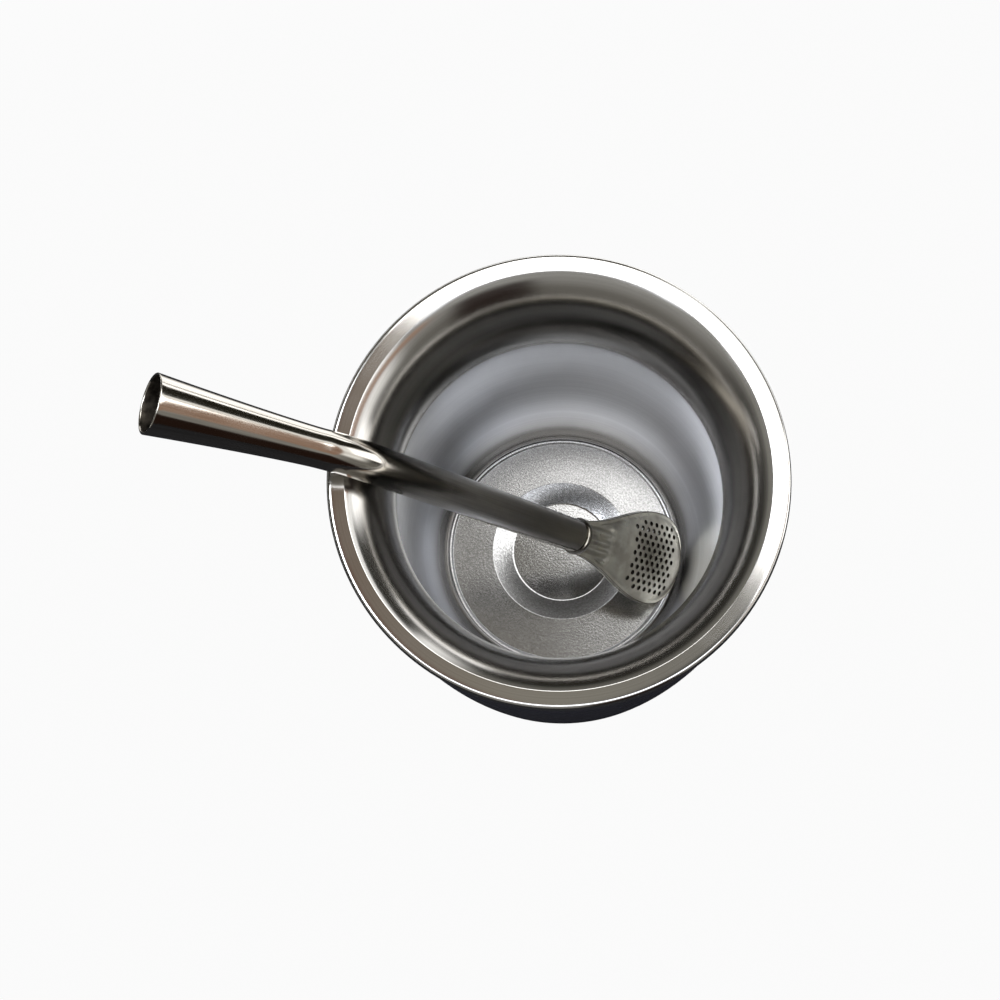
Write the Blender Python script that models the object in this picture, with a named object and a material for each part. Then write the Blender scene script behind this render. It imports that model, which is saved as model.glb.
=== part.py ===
"""Steel mate cup with its drinking straw leaning across the mouth. Units are metres, +Z is up.

The origin is the centre of the flat underside. +X points to the side where the strainer lies, and
the mouthpiece leans out over the rim towards -X.
"""

import math

import bmesh
import bpy
from mathutils import Matrix, Vector

# Cup, with depths measured down from the plane of the lip
CUP_HEIGHT = 0.088
LIP_RADIUS = 0.045
LIP_INNER_RADIUS = 0.0415
LIP_ROUND = 0.0011
BAND_DEPTH = 0.0026
NECK_RADIUS = 0.0327
NECK_DEPTH = 0.0193
FLARE_WIDTH = 0.012
BELLY_RADIUS = 0.0368
BELLY_DEPTH = 0.043
WALL_FOOT_RADIUS = 0.0266
WALL_FOOT_DEPTH = 0.0788
GROOVE_RADIUS = 0.0256
GROOVE_DEPTH = 0.0801
BEAD_RADIUS = 0.0248
BEAD_DEPTH = 0.0796
FLOOR_EDGE_RADIUS = 0.0242
FLOOR_DEPTH = 0.0800
STEP_OUTER_RADIUS = 0.01535
STEP_OUTER_DEPTH = 0.0801
STEP_INNER_RADIUS = 0.0109
STEP_INNER_DEPTH = 0.0814
WALL = 0.001
GAP = 0.0003

# Enamelled outer body and the steel disc that closes it
BODY_TOP_RADIUS = 0.0437
BODY_FOOT_RADIUS = 0.0376
BODY_BULGE = 0.001
BODY_FOOT_ROUND = 0.006
BODY_FOOT_LIFT = 0.0005
BASE_RADIUS = 0.0307
BASE_THICKNESS = 0.0016
BASE_EDGE_ROUND = 0.0008
BASE_GROOVE_RADIUS = 0.0235
BASE_GROOVE_WIDTH = 0.003
BASE_GROOVE_HEIGHT = 0.0004

# Straw: it lies in an upright plane that passes just beside the cup's axis
STRAW_HEADING = math.radians(-9.8)
STRAW_SIDE_OFFSET = -0.0019
TUBE_TILT = math.radians(52.4)
TUBE_END_REACH = 0.0040
TUBE_END_HEIGHT = 0.0378
TUBE_LENGTH = 0.0712
TUBE_END_RADIUS = 0.0035
TUBE_TOP_RADIUS = 0.0039
TUBE_WALL = 0.0005
BEND_LENGTH = 0.012
BEAD_OF_TUBE_RADIUS = 0.0040
BEAD_OF_TUBE_LENGTH = 0.0012
MOUTH_HEADING = math.radians(-12.5)
MOUTH_TILT = math.radians(27)
MOUTH_LENGTH = 0.0413
MOUTH_CONE_START = 0.0070
MOUTH_END_RADIUS = 0.0060

# Strainer: two stamped halves, domed away from each other, on the tube's lower end
STRAINER_ROLL = math.radians(7.3)
STRAINER_YAW = math.radians(2)
STRAINER_SPIGOT = 0.004
STRAINER_SPIGOT_RADIUS = 0.0024
STRAINER_NECK_START = 0.0006
STRAINER_LENGTH = 0.0354
STRAINER_NECK_HALF_WIDTH = 0.0038
STRAINER_HALF_WIDTH = 0.0100
STRAINER_WIDEST_AT = 0.0252
STRAINER_NECK_HEIGHT = 0.0022
STRAINER_CRIMP_HEIGHT = 0.0010
STRAINER_CRIMP_AT = 0.0075
STRAINER_DOME_HEIGHT = 0.0016
STRAINER_RIM_WIDTH = 0.0008
STRAINER_PLATE = 0.0005
RIDGE_PITCH = 0.0022
RIDGE_HEIGHT = 0.00025
HOLE_RADIUS = 0.0005
HOLE_PITCH_ALONG = 0.0019
HOLE_PITCH_ACROSS = 0.00142
HOLE_LINES_EACH_SIDE = 5
HOLE_FIELD_START = 0.0170
HOLE_FIELD_END = 0.0312
HOLE_FIELD_MARGIN = 0.0019

# Fineness of the round shapes
TURN_SEGMENTS = 48
TUBE_SIDES = 16
HOLE_SIDES = 6
DOME_COLUMNS = 8

STEEL = (0.62, 0.61, 0.60)
SATIN_STEEL = (0.50, 0.49, 0.48)
DARK_STEEL = (0.34, 0.32, 0.29)
NAVY_ENAMEL = (0.012, 0.012, 0.045)


def clear_scene():
    for obj in list(bpy.data.objects):
        bpy.data.objects.remove(obj, do_unlink=True)


def make_material(name, colour, metallic, roughness):
    material = bpy.data.materials.new(name)
    material.use_nodes = True
    shader = material.node_tree.nodes["Principled BSDF"]
    shader.inputs["Base Color"].default_value = (*colour, 1)
    shader.inputs["Metallic"].default_value = metallic
    shader.inputs["Roughness"].default_value = roughness
    return material


def add_object(name, mesh_builder, material):
    """Makes a named object from a bmesh, with its normals turned outwards and its faces smooth."""
    bmesh.ops.recalc_face_normals(mesh_builder, faces=mesh_builder.faces)
    mesh = bpy.data.meshes.new(name)
    mesh_builder.to_mesh(mesh)
    mesh_builder.free()
    mesh.shade_smooth()
    mesh.set_sharp_from_angle(angle=math.radians(35))
    mesh.materials.append(material)
    obj = bpy.data.objects.new(name, mesh)
    bpy.context.scene.collection.objects.link(obj)
    return obj


def blend(start, end, share):
    return start + (end - start) * share


def ease(share):
    """Goes from 0 to 1 with a level start and end."""
    return 0.5 - 0.5 * math.cos(math.pi * min(max(share, 0.0), 1.0))


def arc(centre, radii, start, end, steps):
    """Points (radius, height) on an ellipse, from one angle to another in degrees."""
    points = []
    for step in range(steps + 1):
        angle = math.radians(blend(start, end, step / steps))
        points.append((centre[0] + radii[0] * math.cos(angle), centre[1] + radii[1] * math.sin(angle)))
    return points


def bezier(points, steps):
    """Points along a cubic Bezier curve, without its first point."""
    a, b, c, d = [Vector(point) for point in points]
    curve = []
    for step in range(1, steps + 1):
        t = step / steps
        s = 1 - t
        curve.append(tuple(a * s**3 + b * 3 * s * s * t + c * 3 * s * t * t + d * t**3))
    return curve


def offset(points, distance):
    """The same path moved sideways, to the right of its direction."""
    moved = []
    for index, point in enumerate(points):
        before = Vector(points[max(index - 1, 0)])
        after = Vector(points[min(index + 1, len(points) - 1)])
        along = (after - before).normalized()
        moved.append((point[0] + along.y * distance, point[1] - along.x * distance))
    return moved


def turned(name, outline, material):
    """Turns an outline of (radius, height) points about Z. It closes on the axis or on itself."""
    builder = bmesh.new()
    rim = [builder.verts.new((radius, 0, height)) for radius, height in outline]
    edges = [builder.edges.new(pair) for pair in zip(rim, rim[1:])]
    if outline[0][0] > 0:
        edges.append(builder.edges.new((rim[-1], rim[0])))
    bmesh.ops.spin(
        builder, geom=rim + edges, cent=(0, 0, 0), axis=(0, 0, 1), angle=math.tau,
        steps=TURN_SEGMENTS, use_merge=True,
    )
    bmesh.ops.remove_doubles(builder, verts=builder.verts, dist=1e-7)
    return add_object(name, builder, material)


def level(depth):
    return CUP_HEIGHT - depth


def make_liner(material):
    """Inner bowl and lip, pressed from one sheet: floor, stepped well, belly, neck, flare and lip."""
    floor = [
        (0, level(STEP_INNER_DEPTH)),
        (STEP_INNER_RADIUS - 0.0006, level(STEP_INNER_DEPTH)),
        (STEP_INNER_RADIUS, level(STEP_INNER_DEPTH - 0.0003)),
        (STEP_OUTER_RADIUS, level(STEP_OUTER_DEPTH)),
        (FLOOR_EDGE_RADIUS, level(FLOOR_DEPTH)),
        (BEAD_RADIUS, level(BEAD_DEPTH)),
        (GROOVE_RADIUS, level(GROOVE_DEPTH)),
        (WALL_FOOT_RADIUS, level(WALL_FOOT_DEPTH)),
    ]
    belly = bezier(
        [
            (WALL_FOOT_RADIUS, level(WALL_FOOT_DEPTH)),
            (WALL_FOOT_RADIUS + 0.006, level(WALL_FOOT_DEPTH - 0.005)),
            (BELLY_RADIUS, level(BELLY_DEPTH + 0.016)),
            (BELLY_RADIUS, level(BELLY_DEPTH)),
        ],
        6,
    )
    throat = bezier(
        [
            (BELLY_RADIUS, level(BELLY_DEPTH)),
            (BELLY_RADIUS, level(BELLY_DEPTH - 0.012)),
            (NECK_RADIUS, level(NECK_DEPTH + 0.010)),
            (NECK_RADIUS, level(NECK_DEPTH)),
        ],
        4,
    )
    lip_angle = math.acos(1 - (LIP_INNER_RADIUS - NECK_RADIUS) / FLARE_WIDTH)
    flare_height = NECK_DEPTH / math.sin(lip_angle)
    flare = arc(
        (NECK_RADIUS + FLARE_WIDTH, level(NECK_DEPTH)), (FLARE_WIDTH, flare_height),
        180, 180 - math.degrees(lip_angle), 7,
    )[1:]
    inside = floor + belly + throat + flare
    lip = arc(
        (LIP_RADIUS - LIP_ROUND, level(LIP_ROUND)), (LIP_ROUND, LIP_ROUND), 90, 0, 3
    )
    band = [
        (LIP_RADIUS, level(BAND_DEPTH)),
        (BODY_TOP_RADIUS + GAP, level(BAND_DEPTH)),
        (BODY_TOP_RADIUS + GAP, level(WALL)),
    ]
    outside = offset(inside, WALL)[:0:-2]
    return turned(
        "cup_liner",
        inside + lip + band + outside + [(0, level(STEP_INNER_DEPTH + WALL))],
        material,
    )


def body_radius(height):
    """Outer radius of the enamelled body, which narrows towards its foot in a slight barrel."""
    share = (level(BAND_DEPTH) - height) / level(BAND_DEPTH)
    taper = blend(BODY_TOP_RADIUS, BODY_FOOT_RADIUS, share)
    return taper + 4 * BODY_BULGE * share * (1 - share)


def make_shell(material):
    """Outer body: a thin wall tucked under the lip's band, turned in at the foot."""
    top = level(WALL + GAP)
    wall_foot = BODY_FOOT_LIFT + BODY_FOOT_ROUND
    heights = [blend(level(BAND_DEPTH), wall_foot, step / 6) for step in range(7)]
    outer = [(BODY_TOP_RADIUS, top)] + [(body_radius(height), height) for height in heights]
    corner = (outer[-1][0] - BODY_FOOT_ROUND, wall_foot)
    outer += arc(corner, (BODY_FOOT_ROUND, BODY_FOOT_ROUND), 0, -90, 3)[1:]
    outer.append((BASE_RADIUS + GAP, BODY_FOOT_LIFT))
    inner = [(BASE_RADIUS + GAP, BODY_FOOT_LIFT + WALL)]
    inner += arc(corner, (BODY_FOOT_ROUND - WALL, BODY_FOOT_ROUND - WALL), -90, 0, 2)
    inner += [(body_radius(height) - WALL, height) for height in reversed(heights[:-1:2])]
    inner.append((BODY_TOP_RADIUS - WALL, top))
    return turned("cup_shell", outer + inner, material)


def make_base(material):
    """Flat steel disc that the cup stands on, with one shallow pressed ring."""
    groove_inner = BASE_GROOVE_RADIUS - BASE_GROOVE_WIDTH / 2
    groove_outer = BASE_GROOVE_RADIUS + BASE_GROOVE_WIDTH / 2
    underside = [
        (0, 0),
        (groove_inner, 0),
        (groove_inner + BASE_GROOVE_HEIGHT, BASE_GROOVE_HEIGHT),
        (groove_outer - BASE_GROOVE_HEIGHT, BASE_GROOVE_HEIGHT),
        (groove_outer, 0),
    ]
    edge = arc(
        (BASE_RADIUS - BASE_EDGE_ROUND, BASE_EDGE_ROUND),
        (BASE_EDGE_ROUND, BASE_EDGE_ROUND), -90, 0, 2,
    )
    upper = [(BASE_RADIUS, BASE_THICKNESS), (0, BASE_THICKNESS)]
    return turned("cup_base", underside + edge + upper, material)


def direction(heading, tilt):
    """Unit vector up and away from the strainer, towards the mouthpiece's side."""
    return Vector(
        (-math.cos(heading) * math.cos(tilt), -math.sin(heading) * math.cos(tilt), math.sin(tilt))
    )


def straw_end():
    """Centre of the tube's lower end, where the strainer begins."""
    along = Vector((math.cos(STRAW_HEADING), math.sin(STRAW_HEADING), 0))
    side = Vector((-math.sin(STRAW_HEADING), math.cos(STRAW_HEADING), 0))
    foot = along * TUBE_END_REACH + side * STRAW_SIDE_OFFSET
    return foot + Vector((0, 0, TUBE_END_HEIGHT))


def straw_stations():
    """Centres, directions and radii from the tube's lower end to the mouth end."""
    up = direction(STRAW_HEADING, TUBE_TILT)
    out = direction(MOUTH_HEADING, MOUTH_TILT)
    low = straw_end()
    elbow = low + up * TUBE_LENGTH
    stations = []
    straight = TUBE_LENGTH - BEND_LENGTH / 2
    for share in (0, 0.25, 0.5, 0.75, 1):
        radius = blend(TUBE_END_RADIUS, TUBE_TOP_RADIUS, share)
        stations.append((low + up * blend(BEAD_OF_TUBE_LENGTH, straight, share), up, radius))
    start, end = elbow - up * BEND_LENGTH / 2, elbow + out * BEND_LENGTH / 2
    for step in range(1, 6):
        t = step / 6
        point = start * (1 - t) ** 2 + elbow * 2 * t * (1 - t) + end * t * t
        stations.append((point, (up * (1 - t) + out * t).normalized(), TUBE_TOP_RADIUS))
    for step in range(9):
        reach = blend(BEND_LENGTH / 2, MOUTH_LENGTH, step / 8)
        cone = max(reach - MOUTH_CONE_START, 0) / (MOUTH_LENGTH - MOUTH_CONE_START)
        radius = blend(TUBE_TOP_RADIUS, MOUTH_END_RADIUS, cone**1.3)
        stations.append((elbow + out * reach, out, radius))
    return stations


def ring_of(builder, centre, along, radius):
    side = along.cross(Vector((0, 0, 1))).normalized()
    upper = side.cross(along)
    ring = []
    for step in range(TUBE_SIDES):
        angle = math.tau * step / TUBE_SIDES
        offset_from_axis = side * math.cos(angle) + upper * math.sin(angle)
        ring.append(builder.verts.new(centre + offset_from_axis * radius))
    return ring


def make_tube(material):
    """Bent tube with a trumpet mouth, open at both ends, with a rolled bead at its lower end."""
    stations = straw_stations()
    low, up, low_radius = stations[0]
    bead = [
        (low - up * BEAD_OF_TUBE_LENGTH, up, BEAD_OF_TUBE_RADIUS - 0.0004),
        (low - up * BEAD_OF_TUBE_LENGTH * 0.7, up, BEAD_OF_TUBE_RADIUS),
        (low - up * BEAD_OF_TUBE_LENGTH * 0.3, up, BEAD_OF_TUBE_RADIUS),
    ]
    bores = [(low - up * BEAD_OF_TUBE_LENGTH, up, low_radius - TUBE_WALL)]
    bores += [(centre, along, radius - TUBE_WALL) for centre, along, radius in stations]
    builder = bmesh.new()
    outer = [ring_of(builder, *station) for station in bead + stations]
    inner = [ring_of(builder, *station) for station in bores]
    loop = outer + inner[::-1]
    for ring, following in zip(loop, loop[1:] + loop[:1]):
        for side in range(TUBE_SIDES):
            after = (side + 1) % TUBE_SIDES
            builder.faces.new((ring[side], ring[after], following[after], following[side]))
    return add_object("straw_tube", builder, material)


def strainer_half_width(reach):
    """Half the strainer's width at a distance from the tube's end: round spigot, neck, then spoon."""
    if reach < STRAINER_NECK_START:
        return STRAINER_SPIGOT_RADIUS
    if reach <= STRAINER_WIDEST_AT:
        share = ease(reach / STRAINER_WIDEST_AT)
        return blend(STRAINER_NECK_HALF_WIDTH, STRAINER_HALF_WIDTH, share)
    past = (reach - STRAINER_WIDEST_AT) / (STRAINER_LENGTH - STRAINER_WIDEST_AT)
    return STRAINER_HALF_WIDTH * math.sqrt(max(1 - past**2.3, 0))


def strainer_dome(reach):
    """Height of the dome over the strainer's middle, inside its flat rim."""
    if reach <= STRAINER_CRIMP_AT:
        return blend(STRAINER_NECK_HEIGHT, STRAINER_CRIMP_HEIGHT, ease(reach / STRAINER_CRIMP_AT))
    share = ease((reach - STRAINER_CRIMP_AT) / 0.007)
    past = max(reach - STRAINER_WIDEST_AT, 0) / (STRAINER_LENGTH - STRAINER_WIDEST_AT)
    return blend(STRAINER_CRIMP_HEIGHT, STRAINER_DOME_HEIGHT, share) * math.sqrt(max(1 - past**3, 0))


def strainer_height(reach, across):
    """Height of a half's inner face above the plane between the halves."""
    half_width = strainer_half_width(reach)
    middle = GAP / 2
    if reach < STRAINER_NECK_START:
        round_part = max((half_width - STRAINER_PLATE) ** 2 - across**2, 0)
        return middle + math.sqrt(round_part) * 0.85
    domed = half_width - STRAINER_RIM_WIDTH
    if abs(across) >= domed:
        return middle
    height = strainer_dome(reach) * (1 - (across / domed) ** 2) ** 0.75
    window = max(1 - abs(reach / STRAINER_CRIMP_AT - 0.55) / 0.5, 0)
    ridge = RIDGE_HEIGHT * window * math.cos(math.tau * across / RIDGE_PITCH)
    return middle + max(height + ridge, 0)


def strainer_reaches():
    """Distances along the strainer where its cross-sections stand, closer together at the tip."""
    spigot = [-STRAINER_SPIGOT, STRAINER_NECK_START / 2]
    neck = [STRAINER_NECK_START + step * 0.002 for step in range(5)]
    spoon = [blend(neck[-1], STRAINER_WIDEST_AT, step / 4) for step in range(1, 5)]
    run = STRAINER_LENGTH - STRAINER_WIDEST_AT
    tip = [STRAINER_WIDEST_AT + run * math.sin(math.radians(angle)) for angle in (28, 53, 73, 86)]
    return spigot + neck + spoon + tip


def cut_holes(target, name):
    """Cuts the field of staggered round holes through a strainer half."""
    builder = bmesh.new()
    for line in range(-HOLE_LINES_EACH_SIDE, HOLE_LINES_EACH_SIDE + 1):
        across = line * HOLE_PITCH_ACROSS
        reach = HOLE_FIELD_START + (line % 2) * HOLE_PITCH_ALONG / 2
        while reach < HOLE_FIELD_END:
            if strainer_half_width(reach) - HOLE_FIELD_MARGIN > abs(across):
                bmesh.ops.create_cone(
                    builder, cap_ends=True, segments=HOLE_SIDES, radius1=HOLE_RADIUS,
                    radius2=HOLE_RADIUS, depth=0.012, matrix=Matrix.Translation((reach, across, 0)),
                )
            reach += HOLE_PITCH_ALONG
    mesh = bpy.data.meshes.new(name)
    builder.to_mesh(mesh)
    builder.free()
    cutter = bpy.data.objects.new(name, mesh)
    bpy.context.scene.collection.objects.link(cutter)
    cutter.hide_render = True
    cutter.display_type = "WIRE"
    cut = target.modifiers.new("holes", "BOOLEAN")
    cut.operation = "DIFFERENCE"
    cut.object = cutter
    return cutter


def make_strainer_half(name, side, material):
    """One stamped half. side is 1 for the half that faces up and -1 for the one below."""
    builder = bmesh.new()
    inner, outer = [], []
    for reach in strainer_reaches():
        half_width = strainer_half_width(reach)
        row_inner, row_outer = [], []
        for column in range(DOME_COLUMNS + 1):
            share = 2 * column / DOME_COLUMNS - 1
            across = half_width * math.sin(share * math.pi / 2)
            height = strainer_height(reach, across)
            row_inner.append(builder.verts.new((reach, across, side * height)))
            row_outer.append(builder.verts.new((reach, across, side * (height + STRAINER_PLATE))))
        inner.append(row_inner)
        outer.append(row_outer)
    for rows in (inner, outer):
        for row, following in zip(rows, rows[1:]):
            for column in range(DOME_COLUMNS):
                builder.faces.new(
                    (row[column], row[column + 1], following[column + 1], following[column])
                )
    for column in range(DOME_COLUMNS):
        for low_row, high_row in ((inner[0], outer[0]), (inner[-1], outer[-1])):
            builder.faces.new(
                (low_row[column], low_row[column + 1], high_row[column + 1], high_row[column])
            )
    for edge in (0, DOME_COLUMNS):
        for index in range(len(inner) - 1):
            builder.faces.new(
                (inner[index][edge], inner[index + 1][edge], outer[index + 1][edge], outer[index][edge])
            )
    half = add_object(name, builder, material)
    cutter = cut_holes(half, name + "_holes")
    place_on_straw(half)
    place_on_straw(cutter)
    return half


def place_on_straw(obj):
    """Puts an object made along +X at the tube's lower end, with its +Z face turned up."""
    along = -direction(STRAW_HEADING, TUBE_TILT)
    level_side = Vector((0, 0, 1)).cross(along).normalized()
    facing = along.cross(level_side)
    across = level_side * math.cos(STRAINER_ROLL) + facing * math.sin(STRAINER_ROLL)
    facing = along.cross(across)
    turn = Matrix((along, across, facing)).transposed().to_4x4()
    yaw = Matrix.Rotation(STRAINER_YAW, 4, "Z")
    obj.matrix_world = Matrix.Translation(straw_end()) @ turn @ yaw


def main():
    clear_scene()
    make_liner(make_material("brushed steel liner", SATIN_STEEL, 1.0, 0.3))
    make_shell(make_material("navy enamel", NAVY_ENAMEL, 0.0, 0.25))
    make_base(make_material("satin steel base", STEEL, 1.0, 0.35))
    make_tube(make_material("polished dark steel tube", DARK_STEEL, 1.0, 0.12))
    dull_steel = make_material("stamped steel strainer", DARK_STEEL, 1.0, 0.25)
    make_strainer_half("strainer_front", 1, dull_steel)
    make_strainer_half("strainer_back", -1, dull_steel)


main()
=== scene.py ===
"""A double-walled steel mate cup with its drinking straw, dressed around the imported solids.

Everything is in metres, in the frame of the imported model: +Z is up, the cup stands on z = 0 at the
origin, and the straw leans out over the lip towards -X.
"""

import math

import bmesh
import bpy
from mathutils import Euler, Matrix, Vector


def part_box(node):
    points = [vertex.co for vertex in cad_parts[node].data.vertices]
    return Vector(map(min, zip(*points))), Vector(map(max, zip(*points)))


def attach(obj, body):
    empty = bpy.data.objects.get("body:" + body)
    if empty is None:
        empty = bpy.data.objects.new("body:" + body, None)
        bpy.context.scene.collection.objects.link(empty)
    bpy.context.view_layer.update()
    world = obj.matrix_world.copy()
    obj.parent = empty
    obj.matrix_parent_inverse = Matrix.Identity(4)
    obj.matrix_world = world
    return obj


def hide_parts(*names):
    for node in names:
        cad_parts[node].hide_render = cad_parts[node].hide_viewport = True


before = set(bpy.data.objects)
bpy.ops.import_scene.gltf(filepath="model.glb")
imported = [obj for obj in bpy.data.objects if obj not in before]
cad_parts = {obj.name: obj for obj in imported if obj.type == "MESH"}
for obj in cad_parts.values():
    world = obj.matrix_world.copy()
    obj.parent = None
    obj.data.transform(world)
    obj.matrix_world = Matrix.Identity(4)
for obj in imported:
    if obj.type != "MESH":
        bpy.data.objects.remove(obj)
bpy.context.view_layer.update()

# The camera
# It looks almost straight down into the cup from the near side, about half a metre above the lip,
# and is turned a little about its own axis as the picture was.
CUP_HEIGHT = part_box("cup_liner")[1].z
CAMERA_DISTANCE = 0.520
CAMERA_TILT = 0.2048
CAMERA_TURNS = (-0.0083, 0.0217, -0.0507)
CAMERA_LENS_MM = 96.86

eye = Vector((0, -math.sin(CAMERA_TILT), math.cos(CAMERA_TILT))) * CAMERA_DISTANCE
eye.z += CUP_HEIGHT
aim = Matrix.Rotation(CAMERA_TILT, 4, "X") @ Euler(CAMERA_TURNS, "XYZ").to_matrix().to_4x4()
lens = bpy.data.cameras.new("studio camera")
lens.lens = CAMERA_LENS_MM
lens.sensor_width = 36
lens.clip_start = 0.01
camera = bpy.data.objects.new("studio camera", lens)
camera.matrix_world = Matrix.Translation(eye) @ aim
bpy.context.scene.collection.objects.link(camera)
bpy.context.scene.camera = camera
bpy.context.scene.view_settings.view_transform = "Standard"


# The studio
# A white paper sweep carries the cup. A soft window hangs close above it and a second one stands
# low on the right, crossed by a brown card. Two ceiling panels, grey walls and dark flats are the
# rest of the room that the steel mirrors.
def colour(hex_code):
    """Linear colour with alpha from an sRGB hex value such as #C8C6C2."""
    channels = [int(hex_code[i : i + 2], 16) / 255 for i in (1, 3, 5)]
    linear = [c / 12.92 if c <= 0.04045 else ((c + 0.055) / 1.055) ** 2.4 for c in channels]
    return (*linear, 1)


def add_node(tree, kind, inputs=None, **settings):
    """Adds a node with settings and links. An input is a value, a node or one of its outputs."""
    node = tree.nodes.new("ShaderNode" + kind)
    for name, value in settings.items():
        setattr(node, name, value)
    for name, value in (inputs or {}).items():
        if isinstance(value, bpy.types.Node):
            value = next(output for output in value.outputs if output.enabled)
        if isinstance(value, bpy.types.NodeSocket):
            tree.links.new(value, node.inputs[name])
        else:
            node.inputs[name].default_value = value
    return node


def new_material(name):
    """An empty material and its node tree."""
    material = bpy.data.materials.new(name)
    material.use_nodes = True
    material.node_tree.nodes.clear()
    return material, material.node_tree


def mix(tree, share, first, second, **settings):
    """Mixes a second colour into the first by a share of 0 to 1."""
    colours = {"Factor": share, "A": first, "B": second}
    return add_node(tree, "Mix", colours, data_type="RGBA", **settings)


def remap(tree, value, start, end, low=0.0, high=1.0, **settings):
    """Goes from low to high as the value goes from start to end, and stays there."""
    limits = {"Value": value, "From Min": start, "From Max": end, "To Min": low, "To Max": high}
    return add_node(tree, "MapRange", limits, **settings)


def fade(tree, value, start, end, low=0.0, high=1.0):
    """The same with a soft start and end."""
    return remap(tree, value, start, end, low, high, interpolation_type="SMOOTHSTEP")


def ramp(tree, value, *stops):
    """A ramp with a hex colour or a grey value at each position, from first to last."""
    node = add_node(tree, "ValToRGB", {"Fac": value})
    elements = node.color_ramp.elements
    elements[0].position, elements[1].position = stops[0][0], stops[-1][0]
    for position, _ in stops[1:-1]:
        elements.new(position)
    for element, (_, shade) in zip(elements, stops):
        element.color = colour(shade) if isinstance(shade, str) else (shade, shade, shade, 1)
    return node


WINDOW_GLOW = 2.7
world = bpy.data.worlds.new("studio")
world.use_nodes = True
bpy.context.scene.world = world
sky = world.node_tree
sky.nodes.clear()
way = add_node(sky, "TexCoord").outputs["Generated"]
axes = add_node(sky, "SeparateXYZ", {"Vector": way}).outputs
from_top = add_node(sky, "Math", {0: axes["Z"]}, operation="ARCCOSINE")
round_about = add_node(sky, "Math", {0: axes["Y"], 1: axes["X"]}, operation="ARCTAN2")
upper = add_node(sky, "Math", {0: axes["Z"], 1: 0.05}, operation="MAXIMUM")
east = add_node(sky, "Math", {0: axes["X"], 1: upper}, operation="DIVIDE")
north = add_node(sky, "Math", {0: axes["Y"], 1: upper}, operation="DIVIDE")

# Walls: grey high up and nearly black low down, and paler towards the near side
low_wall = fade(sky, from_top, 0.92, 1.32)
near_side = fade(sky, axes["Y"], -0.1, -0.55)
far_walls = mix(sky, low_wall, colour("#8C8A83"), colour("#26251F"))
near_wall = mix(sky, low_wall, colour("#A5A4A0"), colour("#8A8883"))
room = mix(sky, near_side, far_walls, near_wall)

# Overhead: what hangs above the cup, brown on the left, olive in the middle and dark on the right
overhead = fade(sky, from_top, 0.42, 0.30)
canopy = ramp(
    sky, remap(sky, east, -0.10, 0.10),
    (0.0, "#7A6658"), (0.45, "#A19E92"), (0.62, "#928F86"), (1.0, "#504F49"),
)
room = mix(sky, overhead, room, canopy)

# Standing panels: middle, half width and soft edge in degrees round about, the same from the top
# down, and colour. They are a dark red flat, the low window, its narrow lower part, a low strip of
# window further left, the brown card across the window and the dark frame on its left.
for turn, half_turn, soft_turn, drop, half_drop, soft_drop, glow in (
    (-70, 12, 6, 74, 18, 8, colour("#2B1D17")),
    (18, 40, 14, 55, 14, 14, (1.4, 1.4, 1.38, 1)),
    (6, 12, 4, 88, 20, 6, (WINDOW_GLOW, WINDOW_GLOW, WINDOW_GLOW, 1)),
    (58, 12, 4, 100, 14, 5, (WINDOW_GLOW, WINDOW_GLOW, WINDOW_GLOW, 1)),
    (-14, 28, 5, 51, 4, 2, colour("#B3937F")),
    (39, 14, 4, 72, 11, 3, colour("#2A281F")),
):
    share = 1.0
    for value, middle, half, soft in (
        (round_about, turn, half_turn, soft_turn), (from_top, drop, half_drop, soft_drop)
    ):
        away = add_node(sky, "Math", {0: value, 1: math.radians(middle)}, operation="SUBTRACT")
        away = add_node(sky, "Math", {0: away}, operation="ABSOLUTE")
        inside = fade(sky, away, math.radians(half + soft), math.radians(half))
        share = add_node(sky, "Math", {0: share, 1: inside}, operation="MULTIPLY")
    room = mix(sky, share, room, glow)

# Ceiling panels, one metre up: brightness, then the inner and outer limit in metres of each edge
for glow, edges in (
    (3.2, (
        (north, -0.27, -0.20), (north, -0.55, -0.70), (east, 0.50, 0.70), (east, -0.50, -0.70),
    )),
    (10.0, (
        (east, -0.45, -0.38), (east, -0.80, -0.90), (north, 0.40, 0.60), (north, -0.20, -0.40),
    )),
):
    share = 1.0
    for value, inner_limit, outer_limit in edges:
        inside = fade(sky, value, outer_limit, inner_limit)
        share = add_node(sky, "Math", {0: share, 1: inside}, operation="MULTIPLY")
    room = mix(sky, share, room, (glow * 0.97, glow, glow * 1.06, 1))

# The high window hangs close above the cup, so it is a real panel: its near edge runs askew, just
# behind the middle of the cup
PANE_GLOW = 3.8
WINDOW_SIZE = (0.36, 0.17)
WINDOW_HEIGHT = CUP_HEIGHT + 0.25
WINDOW_EDGE = (0.014, 0.060)
WINDOW_TURN = math.radians(-40)
pane = bpy.data.lights.new("high window", "AREA")
pane.shape = "RECTANGLE"
pane.size, pane.size_y = WINDOW_SIZE
pane.energy = PANE_GLOW * math.pi * WINDOW_SIZE[0] * WINDOW_SIZE[1]
high_window = bpy.data.objects.new("high_window", pane)
bpy.context.scene.collection.objects.link(high_window)
high_window.visible_camera = False
inward = Vector((-math.sin(WINDOW_TURN), math.cos(WINDOW_TURN), 0)) * WINDOW_SIZE[1] / 2
high_window.location = Vector((*WINDOW_EDGE, WINDOW_HEIGHT)) + inward
high_window.rotation_euler.z = WINDOW_TURN

seen = add_node(sky, "LightPath").outputs["Is Camera Ray"]
room = mix(sky, seen, room, (1, 1, 1, 1))
add_node(sky, "OutputWorld", {"Surface": add_node(sky, "Background", {"Color": room})})

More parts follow.
